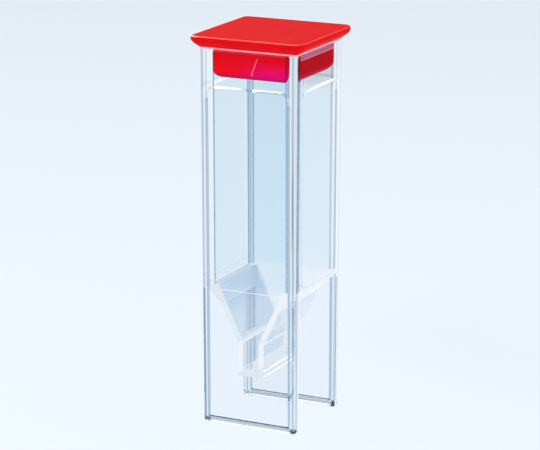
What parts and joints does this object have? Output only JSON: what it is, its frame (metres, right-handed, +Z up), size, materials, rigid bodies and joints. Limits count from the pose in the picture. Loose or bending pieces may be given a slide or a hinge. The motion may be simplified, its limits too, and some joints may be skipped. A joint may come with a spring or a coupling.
{
  "type": "capped micro cuvette",
  "caption": "Clear square micro cuvette with recessed windows, a V-shaped funnel into a narrow measuring channel, open legs and a red push-in cap.",
  "frame": {"origin": "on the floor under the middle of the cell, at the height of its feet", "axes": "+Z up out of the mouth; the two plates that the light passes through face -Y and +Y; the open sides between the legs face -X and +X"},
  "size_m": [0.0144, 0.0144, 0.0464],
  "materials": {
    "clear_plastic": "clear polished polystyrene",
    "cap_plastic": "opaque red moulded polyethylene"
  },
  "bodies": {
    "cell": {"cuvette_body": "clear_plastic"},
    "lid": {"cap": "cap_plastic"}
  },
  "joints": [
    {"name": "cap_pull", "type": "slide", "parent": "cell", "child": "lid", "axis": [0, 0, 1], "range_m": [0, 0.015]}
  ]
}
